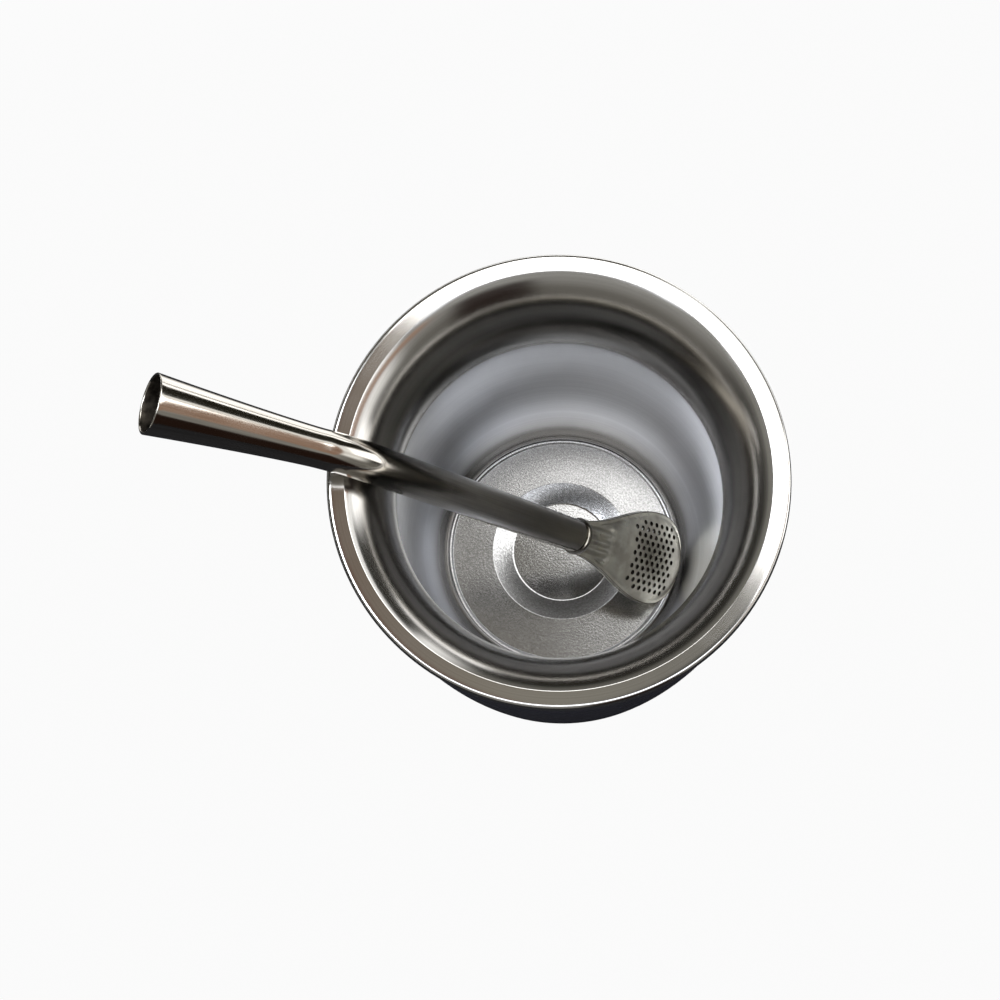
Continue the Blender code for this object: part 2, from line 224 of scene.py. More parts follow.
FLOOR_SIZE = 6.0
FLOOR_DROP = 0.0002
sweep_mesh = bmesh.new()
bmesh.ops.create_grid(sweep_mesh, x_segments=1, y_segments=1, size=FLOOR_SIZE / 2)
floor_data = bpy.data.meshes.new("pale floor")
sweep_mesh.to_mesh(floor_data)
sweep_mesh.free()
floor = bpy.data.objects.new("pale_floor", floor_data)
bpy.context.scene.collection.objects.link(floor)
floor.location.z = -FLOOR_DROP
paper, tree = new_material("white paper sweep")
# A dark mat lies under the cup and on its near side, and a glowing pool, painted light standing in
# for window light, lies on the paper behind it, for the enamel and the straw to mirror. The camera
# sees white paper over both
MAT_MIDDLE = (0, -1.56, 0)
POOL_MIDDLE = (0.20, 0.38, 0)
POOL_GLOW = 2.2
place = add_node(tree, "TexCoord").outputs["Object"]
from_mat = add_node(tree, "VectorMath", {0: place, 1: MAT_MIDDLE}, operation="DISTANCE")
paper_share = fade(tree, from_mat, 1.68, 1.80)
seen = add_node(tree, "LightPath").outputs["Is Camera Ray"]
unseen = add_node(tree, "Math", {0: 1.0, 1: seen}, operation="SUBTRACT")
from_pool = add_node(tree, "VectorMath", {0: place, 1: POOL_MIDDLE}, operation="DISTANCE")
pool_share = fade(tree, from_pool, 0.34, 0.26, 0.0, unseen)
mat_or_paper = mix(tree, paper_share, colour("#2A2A2C"), colour("#E9E7E3"))
matte = add_node(tree, "BsdfDiffuse", {"Color": mat_or_paper})
# The pool is painted light: the paper itself glows there, for all rays but the camera's
pool = add_node(tree, "Emission", {"Strength": POOL_GLOW})
mirrored = add_node(tree, "MixShader", {0: pool_share, 1: matte, 2: pool})
white = add_node(tree, "Emission", {"Color": (1, 1, 1, 1)})
share = add_node(tree, "Math", {0: seen, 1: 0.96}, operation="MULTIPLY")
sheet = add_node(tree, "MixShader", {0: share, 1: mirrored, 2: white})
add_node(tree, "OutputMaterial", {"Surface": sheet})
floor_data.materials.append(paper)


# The liner
# The inner bowl and the lip are deep-drawn from one sheet of 18/8 stainless steel: a blasted floor
# with a stepped well, a satin belly, a tight neck, and a flare spun out into a flat lip.
WALL = 0.001
GAP = 0.0003
LIP_RADIUS = 0.045
LIP_INNER_RADIUS = 0.0415
BAND_DEPTH = 0.0026
NECK_RADIUS = 0.0327
NECK_DEPTH = 0.0193
FLARE_WIDTH = 0.012
BELLY_RADIUS = 0.0368
BELLY_DEPTH = 0.043
FOOT_RADIUS = 0.0266
FOOT_DEPTH = 0.0788
WELL_RADIUS = 0.0109
WELL_DEPTH = 0.0814
STEP_RADIUS = 0.01535
STEP_DEPTH = 0.0801
FLOOR_RADIUS = 0.0242
FLOOR_DEPTH = 0.0800
BODY_TOP_RADIUS = 0.0437
FINISH_DEPTH = 0.0810
TURN_SEGMENTS = 160


def blend(start, end, share):
    return start + (end - start) * share


def rounded(corners, steps=5):
    """A path of (radius, height) points from corners (radius, height, fillet radius)."""
    path = []
    for index, (x, z, fillet) in enumerate(corners):
        here = Vector((x, z))
        if fillet == 0 or index in (0, len(corners) - 1):
            path.append(here)
            continue
        to_last = Vector(corners[index - 1][:2]) - here
        to_next = Vector(corners[index + 1][:2]) - here
        half = to_last.angle(to_next) / 2
        reach = min(fillet / math.tan(half), to_last.length * 0.48, to_next.length * 0.48)
        start = here + to_last.normalized() * reach
        end = here + to_next.normalized() * reach
        path.append(here + to_last.normalized() * min(reach * 1.4, to_last.length * 0.49))
        for step in range(steps + 1):
            t = step / steps
            path.append(start * (1 - t) ** 2 + here * 2 * t * (1 - t) + end * t * t)
        path.append(here + to_next.normalized() * min(reach * 1.4, to_next.length * 0.49))
    return path


def bezier(points, steps):
    """Points along a cubic Bezier curve, without its first point."""
    a, b, c, d = [Vector(point) for point in points]
    curve = []
    for step in range(1, steps + 1):
        t = step / steps
        s = 1 - t
        curve.append(a * s**3 + b * 3 * s * s * t + c * 3 * s * t * t + d * t**3)
    return curve


def offset(points, distance):
    """The same path moved sideways, to the right of its direction."""
    moved = []
    for index, point in enumerate(points):
        before = points[max(index - 1, 0)]
        after = points[min(index + 1, len(points) - 1)]
        along = (after - before).normalized()
        moved.append(Vector((point.x + along.y * distance, point.y - along.x * distance)))
    return moved


def add_piece(name, builder, material, sharp_degrees=40):
    """Makes a piece that rides on the cup from a bmesh, smooth but for its sharp edges."""
    bmesh.ops.remove_doubles(builder, verts=builder.verts, dist=1e-7)
    bmesh.ops.recalc_face_normals(builder, faces=builder.faces)
    mesh = bpy.data.meshes.new(name)
    builder.to_mesh(mesh)
    builder.free()
    mesh.shade_smooth()
    mesh.set_sharp_from_angle(angle=math.radians(sharp_degrees))
    mesh.materials.append(material)
    piece = bpy.data.objects.new(name, mesh)
    bpy.context.scene.collection.objects.link(piece)
    return piece


def turned(name, outline, material, segments=TURN_SEGMENTS):
    """Spins a closed outline of (radius, height) points about Z."""
    builder = bmesh.new()
    rim = [builder.verts.new((point[0], 0, point[1])) for point in outline]
    edges = [builder.edges.new(pair) for pair in zip(rim, rim[1:])]
    if outline[0][0] > 0:
        edges.append(builder.edges.new((rim[-1], rim[0])))
    bmesh.ops.spin(
        builder, geom=rim + edges, cent=(0, 0, 0), axis=(0, 0, 1), angle=math.tau,
        steps=segments, use_merge=True,
    )
    return add_piece(name, builder, material)


def level(depth):
    return CUP_HEIGHT - depth


def down_wall(*stops):
    """The stops of a ramp from their depths in millimetres below the lip."""
    return [(millimetres / 1000 / FINISH_DEPTH, shade) for millimetres, shade in stops]


def drawn_steel():
    """18/8 stainless steel: a bright lip, a satin flare and belly, and a blasted floor.

    The neck is painted darker than the sheet above and below it, as painted shade, and the belly is
    painted lighter, as painted light.
    """
    material, tree = new_material("drawn stainless steel")
    place = add_node(tree, "TexCoord").outputs["Object"]
    flat = add_node(tree, "VectorMath", {0: place, 1: (1, 1, 0)}, operation="MULTIPLY")
    radius = add_node(tree, "VectorMath", {0: flat}, operation="LENGTH")
    height = add_node(tree, "SeparateXYZ", {0: place}).outputs["Z"]
    depth = add_node(tree, "Math", {0: CUP_HEIGHT, 1: height}, operation="SUBTRACT")
    down = remap(tree, depth, 0.0, FINISH_DEPTH)
    rings = add_node(tree, "CombineXYZ", {"X": radius, "Y": depth})
    # Spinning leaves rings about 0.3 mm apart, and blasting leaves grit of about 0.4 mm
    spun = add_node(tree, "TexNoise", {"Vector": rings, "Scale": 3300.0, "Detail": 2.0})
    grit = add_node(tree, "TexNoise", {"Vector": place, "Scale": 2400.0, "Detail": 2.0})
    cloud = add_node(tree, "TexNoise", {"Vector": place, "Scale": 110.0, "Detail": 3.0})
    # Tone down the wall, painted to follow the light: a bright lip, a flare darkening into painted
    # shade at the neck, a belly painted light, painted shade at the wall's foot, a painted highlight
    # on the bead, and the floor
    tone = ramp(tree, down, *down_wall(
        (0.0, "#CFCDCA"), (2.0, "#B4B1AC"), (5.0, "#98958F"), (9.0, "#5A5752"), (17.0, "#5C5954"),
        (22.0, "#A3A19C"), (28.0, "#E4E4E5"), (42.0, "#F2F3F6"), (74.0, "#EEEFF2"),
        (78.8, "#8E8C88"), (79.6, "#DAD9D7"), (79.9, "#ABABAB"), (81.0, "#ABABAB"),
    ))
    speckle = remap(tree, grit.outputs["Fac"], 0.35, 0.65, 0.72)
    gritty = mix(tree, 1.0, tone, speckle, blend_type="MULTIPLY")
    floor_share = remap(tree, depth, FOOT_DEPTH - 0.002, FLOOR_DEPTH - 0.0005)
    sandy = mix(tree, floor_share, tone, gritty)
    brushed = remap(tree, spun.outputs["Fac"], 0.3, 0.7, 0.90)
    steel = mix(tree, 1.0, sandy, brushed, blend_type="MULTIPLY")
    # Painted shade: the corner at the wall's foot, out past the bead, is painted dark
    past_bead = fade(tree, radius, FLOOR_RADIUS + 0.0008, FLOOR_RADIUS + 0.0014)
    foot_shade = fade(tree, radius, FOOT_RADIUS + 0.0022, FOOT_RADIUS + 0.0002, 0.0, past_bead)
    steel = mix(tree, foot_shade, steel, colour("#6A6865"))
    # Roughness down the wall: lip, flare, neck, belly and floor
    rough = ramp(tree, down, *down_wall(
        (0.0, 0.13), (0.3, 0.13), (1.2, 0.20), (18.0, 0.22),
        (27.0, 0.33), (77.0, 0.33), (81.0, 0.14),
    ))
    rough = add_node(
        tree, "Math", {0: cloud.outputs["Fac"], 1: 0.08, 2: rough}, operation="MULTIPLY_ADD"
    )
    rough = add_node(tree, "Math", {0: rough, 1: 0.04}, operation="SUBTRACT")
    grit_share = add_node(
        tree, "Math", {0: floor_share, 1: 0.96, 2: 0.04}, operation="MULTIPLY_ADD"
    )
    relief = add_node(tree, "Math", {0: grit.outputs["Fac"], 1: grit_share}, operation="MULTIPLY")
    relief = add_node(
        tree, "Math", {0: spun.outputs["Fac"], 1: 0.06, 2: relief}, operation="MULTIPLY_ADD"
    )
    bump = add_node(tree, "Bump", {"Height": relief, "Strength": 0.10, "Distance": 0.0001})
    shader = add_node(tree, "BsdfPrincipled", {
        "Metallic": 1.0, "Base Color": steel, "Roughness": rough, "Normal": bump,
    })
    add_node(tree, "OutputMaterial", {"Surface": shader})
    return material


floor_path = rounded([
    (0, level(WELL_DEPTH), 0),
    (WELL_RADIUS, level(WELL_DEPTH), 0.0012),
    (STEP_RADIUS, level(STEP_DEPTH), 0.0006),
    (FLOOR_RADIUS, level(FLOOR_DEPTH), 0.0002),
    (FLOOR_RADIUS + 0.0006, level(FLOOR_DEPTH - 0.0004), 0.0004),
    (FLOOR_RADIUS + 0.0014, level(FLOOR_DEPTH + 0.0001), 0.0005),
    (FOOT_RADIUS, level(FOOT_DEPTH), 0),
])
belly_path = bezier([
    (FOOT_RADIUS, level(FOOT_DEPTH)),
    (FOOT_RADIUS + 0.006, level(FOOT_DEPTH - 0.005)),
    (BELLY_RADIUS, level(BELLY_DEPTH + 0.016)),
    (BELLY_RADIUS, level(BELLY_DEPTH)),
], 24)
throat_path = bezier([
    (BELLY_RADIUS, level(BELLY_DEPTH)),
    (BELLY_RADIUS, level(BELLY_DEPTH - 0.012)),
    (NECK_RADIUS, level(NECK_DEPTH + 0.010)),
    (NECK_RADIUS, level(NECK_DEPTH)),
], 16)
lip_angle = math.acos(1 - (LIP_INNER_RADIUS - NECK_RADIUS) / FLARE_WIDTH)
flare_height = NECK_DEPTH / math.sin(lip_angle)
flare_path = []
for step in range(1, 28):
    angle = lip_angle * step / 28
    flare_path.append(Vector((
        NECK_RADIUS + FLARE_WIDTH * (1 - math.cos(angle)),
        level(NECK_DEPTH) + flare_height * math.sin(angle),
    )))
inside = floor_path + belly_path + throat_path + flare_path
lip_path = rounded([
    (*flare_path[-1], 0),
    (LIP_INNER_RADIUS, level(0), 0.0003),
    (LIP_RADIUS, level(0), 0.0011),
    (LIP_RADIUS, level(BAND_DEPTH), 0.0002),
    (BODY_TOP_RADIUS + 0.0001, level(BAND_DEPTH), 0.0001),
    (BODY_TOP_RADIUS + 0.0001, level(WALL), 0),
], 8)[1:]
outside = offset(inside, WALL)[:0:-3]
liner = turned(
    "steel_liner", inside + lip_path + outside + [Vector((0, level(WELL_DEPTH + WALL)))],
    drawn_steel(),
)
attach(liner, "root")
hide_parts("cup_liner")


# The outer body
# A pressed steel sleeve tucked under the lip's band, finished in glossy dark blue enamel, with a
# rounded foot. The enamel is thick and even, and mirrors the room softly.
BODY_FOOT_RADIUS = 0.0376
BODY_BULGE = 0.001
FOOT_ROUND = 0.006
FOOT_LIFT = 0.0005
BASE_RADIUS = 0.0307


def body_radius(height):
    """Outer radius of the body, which narrows towards its foot in a slight barrel."""
    share = (level(BAND_DEPTH) - height) / level(BAND_DEPTH)
    return blend(BODY_TOP_RADIUS, BODY_FOOT_RADIUS, share) + 4 * BODY_BULGE * share * (1 - share)


def navy_enamel():
    """Fired enamel: dark blue glass over steel, with a faint orange-peel ripple and rub marks."""
    material, tree = new_material("navy enamel")
    place = add_node(tree, "TexCoord").outputs["Object"]
    # The ripple is about 4 mm from crest to crest, and the colour drifts over about 20 mm
    peel = add_node(tree, "TexNoise", {"Vector": place, "Scale": 260.0, "Detail": 1.0})
    drift = add_node(tree, "TexNoise", {"Vector": place, "Scale": 50.0, "Detail": 2.0})
    tint = ramp(tree, drift.outputs["Fac"], (0.3, "#101028"), (0.7, "#171738"))
    # Rub marks run round the body, drawn 0.5 mm apart where real ones are finer
    rubs = add_node(tree, "VectorMath", {0: place, 1: (120, 120, 2000)}, operation="MULTIPLY")
    rubs = add_node(tree, "TexNoise", {"Vector": rubs, "Scale": 1.0, "Detail": 3.0})
    rough = remap(tree, rubs.outputs["Fac"], 0.35, 0.75, 0.24, 0.38)
    bump = add_node(
        tree, "Bump", {"Height": peel.outputs["Fac"], "Strength": 0.08, "Distance": 0.0005}
    )
    shader = add_node(tree, "BsdfPrincipled", {
        "IOR": 1.5, "Coat Weight": 0.6, "Coat Roughness": 0.07, "Coat IOR": 1.5,
        "Base Color": tint, "Roughness": rough, "Normal": bump,
    })
    add_node(tree, "OutputMaterial", {"Surface": shader})
    return material


wall_foot = FOOT_LIFT + FOOT_ROUND
heights = [blend(level(BAND_DEPTH), wall_foot, step / 30) for step in range(31)]
outer = [Vector((BODY_TOP_RADIUS, level(WALL + GAP)))]
outer += [Vector((body_radius(height), height)) for height in heights]
corner = Vector((outer[-1].x - FOOT_ROUND, wall_foot))
for step in range(1, 13):
    angle = -math.pi / 2 * step / 12
    outer.append(corner + Vector((math.cos(angle), math.sin(angle))) * FOOT_ROUND)
outer.append(Vector((BASE_RADIUS + GAP, FOOT_LIFT)))
inner = offset(outer, WALL)[::-3]
inner[0] = Vector((BASE_RADIUS + GAP, FOOT_LIFT + WALL))
inner[-1] = Vector((BODY_TOP_RADIUS - WALL, level(WALL + GAP)))
body = turned("enamel_body", outer + inner, navy_enamel())
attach(body, "root")
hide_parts("cup_shell")


# The base
# A flat disc of 18/8 stainless steel that closes the body's foot. One shallow ring is pressed into
# it, and the cup stands on the flat beside that ring. It is brushed in circles.
BASE_THICKNESS = 0.0016
BASE_EDGE = 0.0008
RING_RADIUS = 0.0235
RING_WIDTH = 0.003
RING_HEIGHT = 0.0004


def brushed_base_steel():
    """18/8 stainless steel, brushed on a turntable: a soft sheen with fine rings in it."""
    material, tree = new_material("ring-brushed steel")
    place = add_node(tree, "TexCoord").outputs["Object"]
    flat = add_node(tree, "VectorMath", {0: place, 1: (1, 1, 0)}, operation="MULTIPLY")
    radius = add_node(tree, "VectorMath", {0: flat}, operation="LENGTH")
    # Brush rings every 0.25 mm, over clouds of about 15 mm from the hand that handles it
    rings = add_node(
        tree, "TexNoise", {"W": radius, "Scale": 4000.0, "Detail": 2.0}, noise_dimensions="1D"
    )
    cloud = add_node(tree, "TexNoise", {"Vector": place, "Scale": 70.0, "Detail": 3.0})
    tone = ramp(tree, rings.outputs["Fac"], (0.3, "#A9A7A2"), (0.7, "#CFCDC9"))
    rough = remap(tree, cloud.outputs["Fac"], 0.0, 1.0, 0.26, 0.42)
    bump = add_node(
        tree, "Bump", {"Height": rings.outputs["Fac"], "Strength": 0.25, "Distance": 0.00005}
    )
    shader = add_node(tree, "BsdfPrincipled", {
        "Metallic": 1.0, "Base Color": tone, "Roughness": rough, "Normal": bump,
    })
    add_node(tree, "OutputMaterial", {"Surface": shader})
    return material


half_ring = RING_WIDTH / 2
base_path = rounded([
    (0, 0, 0),
    (RING_RADIUS - half_ring, 0, 0.0002),
    (RING_RADIUS - half_ring + RING_HEIGHT, RING_HEIGHT, 0.0002),
    (RING_RADIUS + half_ring - RING_HEIGHT, RING_HEIGHT, 0.0002),
    (RING_RADIUS + half_ring, 0, 0.0002),
    (BASE_RADIUS, 0, BASE_EDGE),
    (BASE_RADIUS, BASE_THICKNESS, 0.0001),
    (0, BASE_THICKNESS, 0),
])
base = turned("steel_base", base_path, brushed_base_steel())
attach(base, "root")
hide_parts("cup_base")


# The straw's tube
# A drawn stainless tube with one bend near its top. Above the bend it is swaged out into a trumpet
# mouth with a rolled rim, and at its lower end a narrow bead is rolled where the strainer joins.
STRAW_HEADING = math.radians(-9.8)
STRAW_SIDE_OFFSET = -0.0019
TUBE_TILT = math.radians(52.4)
TUBE_END_REACH = 0.0040
TUBE_END_HEIGHT = 0.0378
TUBE_LENGTH = 0.0712
TUBE_END_RADIUS = 0.0035
TUBE_TOP_RADIUS = 0.0039
TUBE_WALL = 0.0005
BEND_LENGTH = 0.012
BEAD_RADIUS = 0.0040
BEAD_LENGTH = 0.0012
MOUTH_HEADING = math.radians(-12.5)
MOUTH_TILT = math.radians(27)
MOUTH_LENGTH = 0.0413
CONE_START = 0.0070
MOUTH_RADIUS = 0.0060
TEA_LINE_HEIGHT = 0.074
TUBE_SIDES = 64


def direction(heading, tilt):
    """Unit vector up and away from the strainer, towards the mouthpiece's side."""
    return Vector(
        (-math.cos(heading) * math.cos(tilt), -math.sin(heading) * math.cos(tilt), math.sin(tilt))
    )


def polished_tube_steel():
    """Drawn stainless tube, polished: a dark mirror with faint draw lines along its length."""
    material, tree = new_material("polished tube steel")
    place = add_node(tree, "TexCoord").outputs["Object"]
    # Draw lines 0.3 mm apart run the tube's whole length, over handling smears of about 8 mm
    unrolled = add_node(tree, "UVMap", uv_map="draw lines").outputs["UV"]
    lines = add_node(tree, "VectorMath", {0: unrolled, 1: (3300, 60, 0)}, operation="MULTIPLY")
    lines = add_node(tree, "TexNoise", {"Vector": lines, "Scale": 1.0, "Detail": 2.0})
    smear = add_node(tree, "TexNoise", {"Vector": place, "Scale": 130.0, "Detail": 3.0})
    tone = ramp(tree, lines.outputs["Fac"], (0.3, "#AFAAA2"), (0.7, "#C4C0B8"))
    # Tea has darkened the end that stands in the drink, all but its rolled bead
    height = add_node(tree, "SeparateXYZ", {0: place}).outputs["Z"]
    in_drink = remap(tree, height, TUBE_END_HEIGHT, TEA_LINE_HEIGHT)
    tea = ramp(tree, in_drink, (0.0, 0.0), (0.045, 0.0), (0.07, 0.9), (0.45, 0.8), (1.0, 0.0))
    tone = mix(tree, tea, tone, colour("#68645B"))
    rough = remap(tree, smear.outputs["Fac"], 0.0, 1.0, 0.07, 0.15)
    bump = add_node(
        tree, "Bump", {"Height": lines.outputs["Fac"], "Strength": 0.12, "Distance": 0.00005}
    )
    shader = add_node(tree, "BsdfPrincipled", {
        "Metallic": 1.0, "Base Color": tone, "Roughness": rough, "Normal": bump,
    })
    add_node(tree, "OutputMaterial", {"Surface": shader})
    return material


def shaded_bore_steel():
    """The inside of the tube, left as drawn: dull, and painted dark brown-grey as painted shade."""
    material, tree = new_material("unpolished bore steel")
    place = add_node(tree, "TexCoord").outputs["Object"]
    # Random mottling of about 2 mm in the painted shade
    stain = add_node(tree, "TexNoise", {"Vector": place, "Scale": 500.0, "Detail": 3.0})
    tone = ramp(tree, stain.outputs["Fac"], (0.35, "#2A2622"), (0.7, "#5C564E"))
    rough = remap(tree, stain.outputs["Fac"], 0.0, 1.0, 0.35, 0.6)
    shader = add_node(
        tree, "BsdfPrincipled", {"Metallic": 1.0, "Base Color": tone, "Roughness": rough}
    )
    add_node(tree, "OutputMaterial", {"Surface": shader})
    return material


along_straw = Vector((math.cos(STRAW_HEADING), math.sin(STRAW_HEADING), 0))
across_straw = Vector((-math.sin(STRAW_HEADING), math.cos(STRAW_HEADING), 0))
straw_end = along_straw * TUBE_END_REACH + across_straw * STRAW_SIDE_OFFSET
straw_end.z = TUBE_END_HEIGHT
up = direction(STRAW_HEADING, TUBE_TILT)
out = direction(MOUTH_HEADING, MOUTH_TILT)
elbow = straw_end + up * TUBE_LENGTH

bead_rings = []
for step in range(13):
    turn = math.pi * step / 12
    reach = (1 - math.cos(turn)) * BEAD_LENGTH / 2
    radius = blend(TUBE_END_RADIUS, BEAD_RADIUS, math.sin(turn) ** 0.7)
    bead_rings.append((straw_end + up * reach, up, radius))
tube_rings = []
straight = TUBE_LENGTH - BEND_LENGTH / 2
for step in range(1, 25):
    share = step / 24
    radius = blend(TUBE_END_RADIUS, TUBE_TOP_RADIUS, share)
    tube_rings.append((straw_end + up * blend(BEAD_LENGTH, straight, share), up, radius))
bend_start, bend_end = elbow - up * BEND_LENGTH / 2, elbow + out * BEND_LENGTH / 2
for step in range(1, 24):
    t = step / 24
    middle = bend_start * (1 - t) ** 2 + elbow * 2 * t * (1 - t) + bend_end * t * t
    tube_rings.append((middle, (up * (1 - t) + out * t).normalized(), TUBE_TOP_RADIUS))
rim_start = MOUTH_LENGTH - TUBE_WALL / 2
for step in range(37):
    reach = blend(BEND_LENGTH / 2, rim_start, step / 36)
    cone = max(reach - CONE_START, 0) / (MOUTH_LENGTH - CONE_START)
    radius = blend(TUBE_TOP_RADIUS, MOUTH_RADIUS, cone**1.3)
    tube_rings.append((elbow + out * reach, out, radius))
rim_rings = []
for step in range(1, 8):
    turn = math.pi * step / 8
    reach = rim_start + math.sin(turn) * TUBE_WALL / 2
    radius = MOUTH_RADIUS - (1 - math.cos(turn)) * TUBE_WALL / 2
    rim_rings.append((elbow + out * reach, out, radius))
bore_rings = [(centre, along, radius - TUBE_WALL) for centre, along, radius in tube_rings[::-1]]
bore_rings.append((straw_end, up, TUBE_END_RADIUS - TUBE_WALL))

builder = bmesh.new()
unrolled = builder.loops.layers.uv.new("draw lines")
rings = []
for centre, along, radius in bead_rings + tube_rings + rim_rings + bore_rings:
    side = along.cross(Vector((0, 0, 1))).normalized()
    upper = side.cross(along)
    ring = []
    for step in range(TUBE_SIDES):
        angle = math.tau * step / TUBE_SIDES
        spoke = side * math.cos(angle) + upper * math.sin(angle)
        ring.append(builder.verts.new(centre + spoke * radius))
    rings.append(ring)
outer_count = len(bead_rings + tube_rings + rim_rings)
run = 0
for index, (ring, following) in enumerate(zip(rings, rings[1:] + rings[:1])):
    length = (following[0].co - ring[0].co).length
    for step in range(TUBE_SIDES):
        after = (step + 1) % TUBE_SIDES
        face = builder.faces.new((ring[step], ring[after], following[after], following[step]))
        face.material_index = 1 if index >= outer_count else 0
        around = [math.tau * TUBE_TOP_RADIUS * turn / TUBE_SIDES for turn in (step, step + 1)]
        corners = (
            (around[0], run), (around[1], run),
            (around[1], run + length), (around[0], run + length),
        )
        for loop, corner_place in zip(face.loops, corners):
            loop[unrolled].uv = corner_place
    run += length
tube = add_piece("straw_pipe", builder, polished_tube_steel(), 50)
# The bore's dark steel is painted shade, and it paints shade on the strainer too
painted_shade_steel = shaded_bore_steel()
tube.data.materials.append(painted_shade_steel)
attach(tube, "root")
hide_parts("straw_tube")


# The strainer
# Two spoon-shaped halves stamped from thin stainless sheet, domed away from each other, crimped at
# a ribbed neck and pushed into the tube. Each is pierced with a field of small round holes.
STRAINER_ROLL = math.radians(7.3)
STRAINER_YAW = math.radians(2)
SPIGOT_LENGTH = 0.004
SPIGOT_RADIUS = 0.0024
SPIGOT_FLATNESS = 0.85
SPOON_START = 0.0006
SPOON_LENGTH = 0.0354
SPOON_NECK_HALF_WIDTH = 0.0038
SPOON_HALF_WIDTH = 0.0100
SPOON_WIDEST_AT = 0.0252
SPOON_NECK_HEIGHT = 0.0022
CRIMP_HEIGHT = 0.0010
CRIMP_AT = 0.0075
DOME_HEIGHT = 0.0016
DOME_RISE = 0.007
SPOON_RIM = 0.0008
SHEET = 0.0005
FLUTE_PITCH = 0.0021
FLUTE_HEIGHT = 0.00042
FLUTE_END = 0.0092
FLUTE_FADE = 0.0012
DIMPLES_AT = 0.0096
DIMPLE_HEIGHT = 0.00035
DIMPLE_RADIUS = 0.0006
HOLE_RADIUS = 0.00053
HOLE_PITCH_ALONG = 0.0019
HOLE_PITCH_ACROSS = 0.00142
HOLE_LINES_EACH_SIDE = 5
HOLE_FIELD_START = 0.0170
HOLE_FIELD_END = 0.0312
HOLE_FIELD_MARGIN = 0.0019
SHADE_MIDDLE_AT = 0.0245
SHADE_MIDDLE_RADIUS = 0.0095
SPOON_COLUMNS = 64
SPOON_ROWS = 110
SHADED_RIM_COLUMNS = 4


def stamped_sheet_steel():
    """Stamped stainless sheet, tumbled: half bright, finely pitted, with painted shade among its
    holes.
    """
    material, tree = new_material("stamped strainer steel")
    place = add_node(tree, "TexCoord").outputs["Object"]
    # Tumbling leaves pits of about 0.4 mm, and the stain comes in patches of about 5 mm
    pits = add_node(tree, "TexNoise", {"Vector": place, "Scale": 2500.0, "Detail": 2.0})
    stain = add_node(tree, "TexNoise", {"Vector": place, "Scale": 190.0, "Detail": 3.0})
    tone = ramp(tree, stain.outputs["Fac"], (0.36, "#938F84"), (0.62, "#B9B6A9"))
    # Painted shade: the sheet is painted darkest in the middle of the hole field, fading out over
    # its radius
    shade_middle = spoon_place @ Vector((SHADE_MIDDLE_AT, 0, DOME_HEIGHT - 0.0001))
    from_shade_middle = add_node(tree, "VectorMath", {0: place, 1: shade_middle}, operation="DISTANCE")
    tea = fade(tree, from_shade_middle, 0.002, SHADE_MIDDLE_RADIUS, 0.9, 0.0)
    tone = mix(tree, tea, tone, colour("#524F45"))
    rough = remap(tree, stain.outputs["Fac"], 0.0, 1.0, 0.36, 0.22)
    bump = add_node(
        tree, "Bump", {"Height": pits.outputs["Fac"], "Strength": 0.18, "Distance": 0.00008}
    )
    shader = add_node(tree, "BsdfPrincipled", {
        "Metallic": 1.0, "Base Color": tone, "Roughness": rough, "Normal": bump,
    })
    add_node(tree, "OutputMaterial", {"Surface": shader})
    return material


def ease(share):
    """Goes from 0 to 1 with a level start and end."""
    return 0.5 - 0.5 * math.cos(math.pi * min(max(share, 0.0), 1.0))


def spoon_half_width(reach):
    """Half the spoon's width at a distance from the tube's end."""
    if reach < SPOON_START:
        return SPIGOT_RADIUS
    if reach <= SPOON_WIDEST_AT:
        return blend(SPOON_NECK_HALF_WIDTH, SPOON_HALF_WIDTH, ease(reach / SPOON_WIDEST_AT))
    past = (reach - SPOON_WIDEST_AT) / (SPOON_LENGTH - SPOON_WIDEST_AT)
    return SPOON_HALF_WIDTH * math.sqrt(max(1 - past**2.3, 0))


def spoon_dome(reach):
    """Height of the dome over the spoon's middle, inside its flat rim."""
    if reach <= CRIMP_AT:
        return blend(SPOON_NECK_HEIGHT, CRIMP_HEIGHT, ease(reach / CRIMP_AT))
    share = ease((reach - CRIMP_AT) / DOME_RISE)
    past = max(reach - SPOON_WIDEST_AT, 0) / (SPOON_LENGTH - SPOON_WIDEST_AT)
    return blend(CRIMP_HEIGHT, DOME_HEIGHT, share) * math.sqrt(max(1 - past**3, 0))


def spoon_height(reach, across):
    """Height of a half's inner face above the plane between the halves."""
    half_width = spoon_half_width(reach)
    if reach < SPOON_START:
        return GAP / 2 + math.sqrt(max((half_width - SHEET) ** 2 - across**2, 0)) * SPIGOT_FLATNESS
    domed = half_width - SPOON_RIM
    if abs(across) >= domed:
        return GAP / 2
    height = spoon_dome(reach) * (1 - (across / domed) ** 2) ** 0.75
    window = min(reach / FLUTE_FADE, max(FLUTE_END - reach, 0) / FLUTE_FADE, 1)
    flute = FLUTE_HEIGHT * window * math.cos(math.tau * across / FLUTE_PITCH)
    dimple = 0
    for line in range(-2, 3):
        away = math.hypot(reach - DIMPLES_AT, across - line * FLUTE_PITCH * 0.8)
        dimple += DIMPLE_HEIGHT * math.exp(-((away / DIMPLE_RADIUS) ** 2))
    return GAP / 2 + max(height + flute + dimple, 0)


spoon_reaches = [-SPIGOT_LENGTH, SPOON_START - 0.0001]
spoon_reaches += [
    blend(SPOON_START, SPOON_WIDEST_AT, step / SPOON_ROWS) for step in range(SPOON_ROWS + 1)
]
spoon_run = SPOON_LENGTH - SPOON_WIDEST_AT
for step in range(1, 25):
    spoon_reaches.append(SPOON_WIDEST_AT + spoon_run * math.sin(math.radians(3.65 * step)))

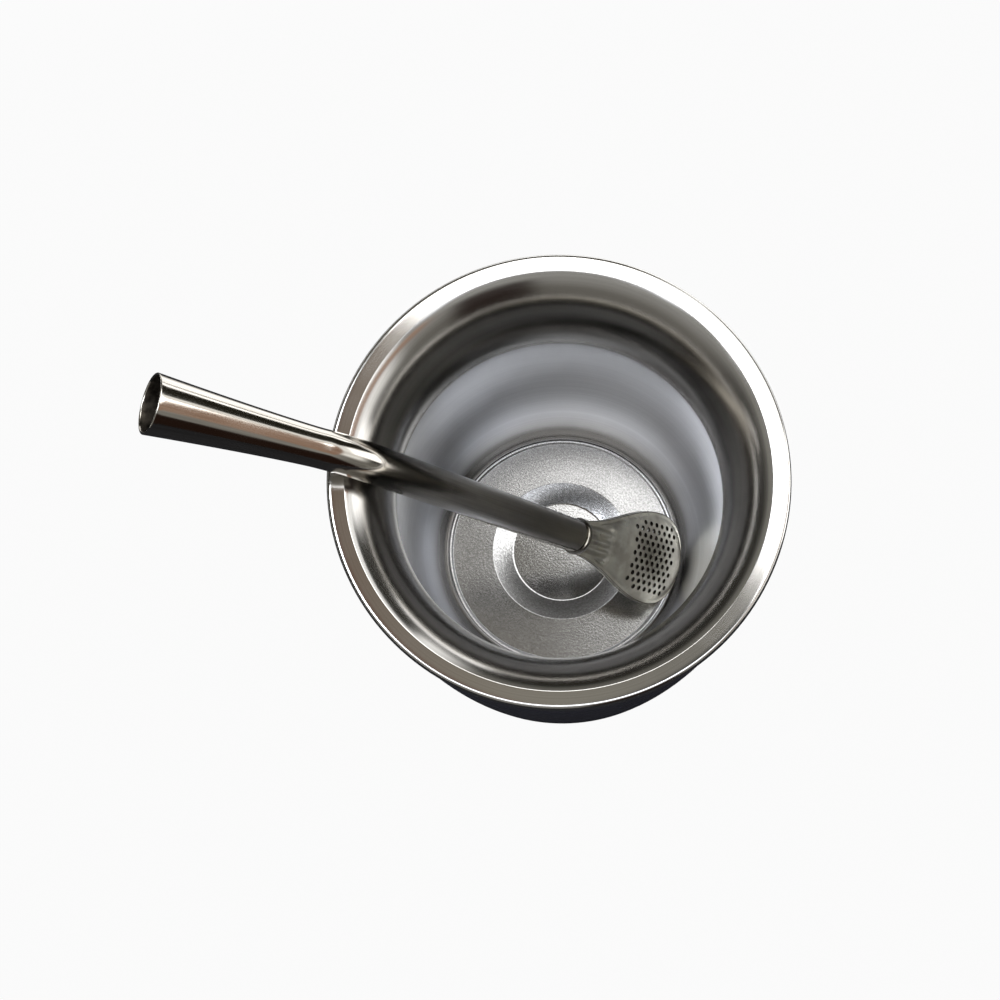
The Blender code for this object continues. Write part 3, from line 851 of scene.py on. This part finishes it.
spoon_along = -up
level_side = Vector((0, 0, 1)).cross(spoon_along).normalized()
facing = spoon_along.cross(level_side)
spoon_across = level_side * math.cos(STRAINER_ROLL) + facing * math.sin(STRAINER_ROLL)
spoon_turn = Matrix((spoon_along, spoon_across, spoon_along.cross(spoon_across))).transposed()
spoon_place = Matrix.Translation(straw_end) @ spoon_turn.to_4x4()
spoon_place = spoon_place @ Matrix.Rotation(STRAINER_YAW, 4, "Z")

punch_builder = bmesh.new()
for line in range(-HOLE_LINES_EACH_SIDE, HOLE_LINES_EACH_SIDE + 1):
    across = line * HOLE_PITCH_ACROSS
    reach = HOLE_FIELD_START + (line % 2) * HOLE_PITCH_ALONG / 2
    while reach < HOLE_FIELD_END:
        if spoon_half_width(reach) - HOLE_FIELD_MARGIN > abs(across):
            bmesh.ops.create_cone(
                punch_builder, cap_ends=True, segments=20, radius1=HOLE_RADIUS,
                radius2=HOLE_RADIUS, depth=0.012, matrix=Matrix.Translation((reach, across, 0)),
            )
        reach += HOLE_PITCH_ALONG
punch_data = bpy.data.meshes.new("hole punches")
punch_builder.to_mesh(punch_data)
punch_builder.free()
punches = bpy.data.objects.new("hole_punches", punch_data)
bpy.context.scene.collection.objects.link(punches)

# The walls of the holes, the inner faces and a thin strip along the rim take the dark bore steel,
# which is each half's second material: painted shade in the holes, between the halves and as a dark
# outline along the rim
punch_data.polygons.foreach_set("material_index", [1] * len(punch_data.polygons))
strainer_steel = stamped_sheet_steel()
for name, node, side in (
    ("strainer_upper_half", "strainer_front", 1), ("strainer_lower_half", "strainer_back", -1)
):
    builder = bmesh.new()
    faces_of = ([], [])
    for reach in spoon_reaches:
        half_width = spoon_half_width(reach)
        for skin, rows in enumerate(faces_of):
            row = []
            for column in range(SPOON_COLUMNS + 1):
                across = half_width * math.sin((2 * column / SPOON_COLUMNS - 1) * math.pi / 2)
                height = spoon_height(reach, across) + skin * SHEET
                row.append(builder.verts.new((reach, across, side * height)))
            rows.append(row)
    for rows in faces_of:
        for index, (row, following) in enumerate(zip(rows, rows[1:])):
            for column in range(SPOON_COLUMNS):
                face = builder.faces.new(
                    (row[column], row[column + 1], following[column + 1], following[column])
                )
                # Painted shade: a strip of faces along the rim and every inner face take the dark
                # steel
                from_rim = min(column, SPOON_COLUMNS - 1 - column, len(rows) - 2 - index)
                in_painted_shade = from_rim < SHADED_RIM_COLUMNS or rows is faces_of[0]
                face.material_index = 1 if in_painted_shade else 0
    under, over = faces_of
    for end in (0, -1):
        for column in range(SPOON_COLUMNS):
            builder.faces.new((
                under[end][column], under[end][column + 1],
                over[end][column + 1], over[end][column],
            ))
    for edge_column in (0, -1):
        for index in range(len(under) - 1):
            builder.faces.new((
                under[index][edge_column], under[index + 1][edge_column],
                over[index + 1][edge_column], over[index][edge_column],
            ))
    half = add_piece(name, builder, strainer_steel, 35)
    half.data.materials.append(painted_shade_steel)
    pierce = half.modifiers.new("holes", "BOOLEAN")
    pierce.operation = "DIFFERENCE"
    pierce.object = punches
    pierced = bpy.data.meshes.new_from_object(
        half.evaluated_get(bpy.context.evaluated_depsgraph_get())
    )
    half.modifiers.clear()
    half.data = pierced
    pierced.transform(spoon_place)
    pierced.set_sharp_from_angle(angle=math.radians(35))
    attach(half, "root")
    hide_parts(node)
bpy.data.objects.remove(punches, do_unlink=True)
